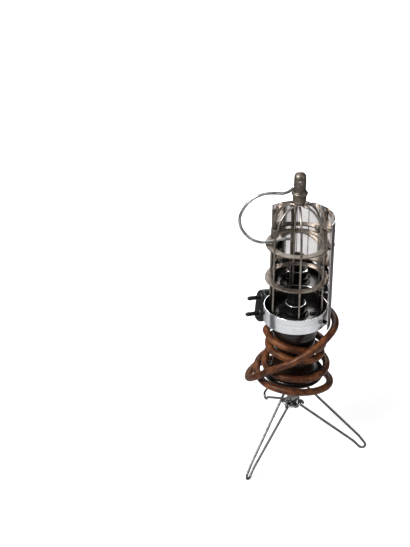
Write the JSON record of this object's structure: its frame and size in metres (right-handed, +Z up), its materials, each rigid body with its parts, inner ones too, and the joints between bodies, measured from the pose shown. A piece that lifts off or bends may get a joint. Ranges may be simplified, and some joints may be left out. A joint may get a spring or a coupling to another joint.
{
  "type": "hand lamp",
  "caption": "Caged hand lamp with a bobbin handle that carries its own wound cord and plug, folding wire legs, a turning half-round reflector and a swivelling hanging hook.",
  "frame": {"origin": "middle of the box round everything but the cord, at the floor", "axes": "+Z up along the lamp's axis; -Y towards the picture's camera, +X to its right"},
  "size_m": [0.1538, 0.1708, 0.3525],
  "materials": {
    "bakelite": "moulded, dark brown-black, glossy",
    "black_rubber": "moulded, satin black",
    "brown_rubber": "smooth red-brown sheath, worn and finely cracked",
    "tarnished_nickel": "dull warm grey plating, tarnished",
    "bright_chrome": "bright plating with light wear",
    "mirror_sheet": "polished sheet, mirror bright inside, dark and dull outside",
    "brass": "aged brass",
    "steel": "dull steel"
  },
  "bodies": {
    "handle_unit": {"handle": "bakelite", "handle_side_screw": "steel", "strain_relief": "black_rubber", "inner_cord": "brown_rubber", "cord_clamp": "steel", "cord_clamp_screw": "steel", "inner_lead_1": "black_rubber", "inner_lead_2": "black_rubber", "lamp_base": "bakelite", "base_screw_1": "steel", "base_screw_2": "steel", "lampholder_body": "bakelite", "screw_shell": "brass", "centre_contact": "brass", "shade_ring": "bright_chrome", "bottom_plate": "tarnished_nickel", "plate_screw_1": "steel", "plate_screw_2": "steel", "plate_screw_3": "steel", "stem_boss": "tarnished_nickel", "stem": "tarnished_nickel", "stem_nut": "steel", "hub": "tarnished_nickel", "stem_cap_nut": "tarnished_nickel", "leg_ring": "bright_chrome", "cord_winding": "brown_rubber", "cord_lead": "brown_rubber", "plug_body": "black_rubber", "plug_pin_1": "steel", "plug_pin_2": "steel", "plug_screw": "steel", "plug_grip": "bright_chrome"},
    "cage": {"collar": "bright_chrome", "band_screw": "steel", "band_nut": "steel", "bottom_ring": "tarnished_nickel", "lower_ring": "tarnished_nickel", "middle_ring": "tarnished_nickel", "cage_wire_1": "tarnished_nickel", "cage_wire_2": "tarnished_nickel", "cage_wire_3": "tarnished_nickel", "cage_wire_4": "tarnished_nickel", "cage_wire_5": "tarnished_nickel", "cage_wire_6": "tarnished_nickel", "ferrule": "tarnished_nickel", "swivel_stud": "steel"},
    "swivel": {"swivel_cap": "tarnished_nickel"},
    "hook": {"hook": "bright_chrome"},
    "reflector": {"reflector": "mirror_sheet", "reflector_clip_1": "tarnished_nickel", "reflector_clip_2": "tarnished_nickel", "reflector_clip_3": "tarnished_nickel", "reflector_rivet_1": "steel", "reflector_rivet_2": "steel", "reflector_rivet_3": "steel"},
    "leg_1": {"leg_1": "bright_chrome"},
    "leg_2": {"leg_2": "bright_chrome"},
    "leg_3": {"leg_3": "bright_chrome"}
  },
  "joints": [
    {"name": "cage_lift", "type": "slide", "parent": "handle_unit", "child": "cage", "axis": [0, 0, 1], "range_m": [0, 0.12]},
    {"name": "cap_swivel", "type": "hinge", "parent": "cage", "child": "swivel", "pos_m": [-0.01106, -0.00674, 0.332], "axis": [0, 0, 1], "range_deg": [-20, 20]},
    {"name": "hook_swing", "type": "hinge", "parent": "swivel", "child": "hook", "pos_m": [-0.01106, -0.00674, 0.343], "axis": [-0.0523, 0.9986, 0], "range_deg": [0, 180]},
    {"name": "reflector_turn", "type": "hinge", "parent": "cage", "child": "reflector", "pos_m": [-0.01106, -0.00674, 0.232], "axis": [0, 0, 1], "range_deg": [-90, 20]},
    {"name": "leg_1_fold", "type": "hinge", "parent": "handle_unit", "child": "leg_1", "pos_m": [-0.00101, -0.00851, 0.056], "axis": [0.1736, 0.9848, 0], "range_deg": [0, 50]},
    {"name": "leg_2_fold", "type": "hinge", "parent": "handle_unit", "child": "leg_2", "pos_m": [-0.01404, 0.00302, 0.056], "axis": [-0.9563, -0.2924, 0], "range_deg": [0, 50]},
    {"name": "leg_3_fold", "type": "hinge", "parent": "handle_unit", "child": "leg_3", "pos_m": [-0.0169, -0.01509, 0.056], "axis": [0.8191, -0.5736, 0], "range_deg": [0, 50]}
  ]
}
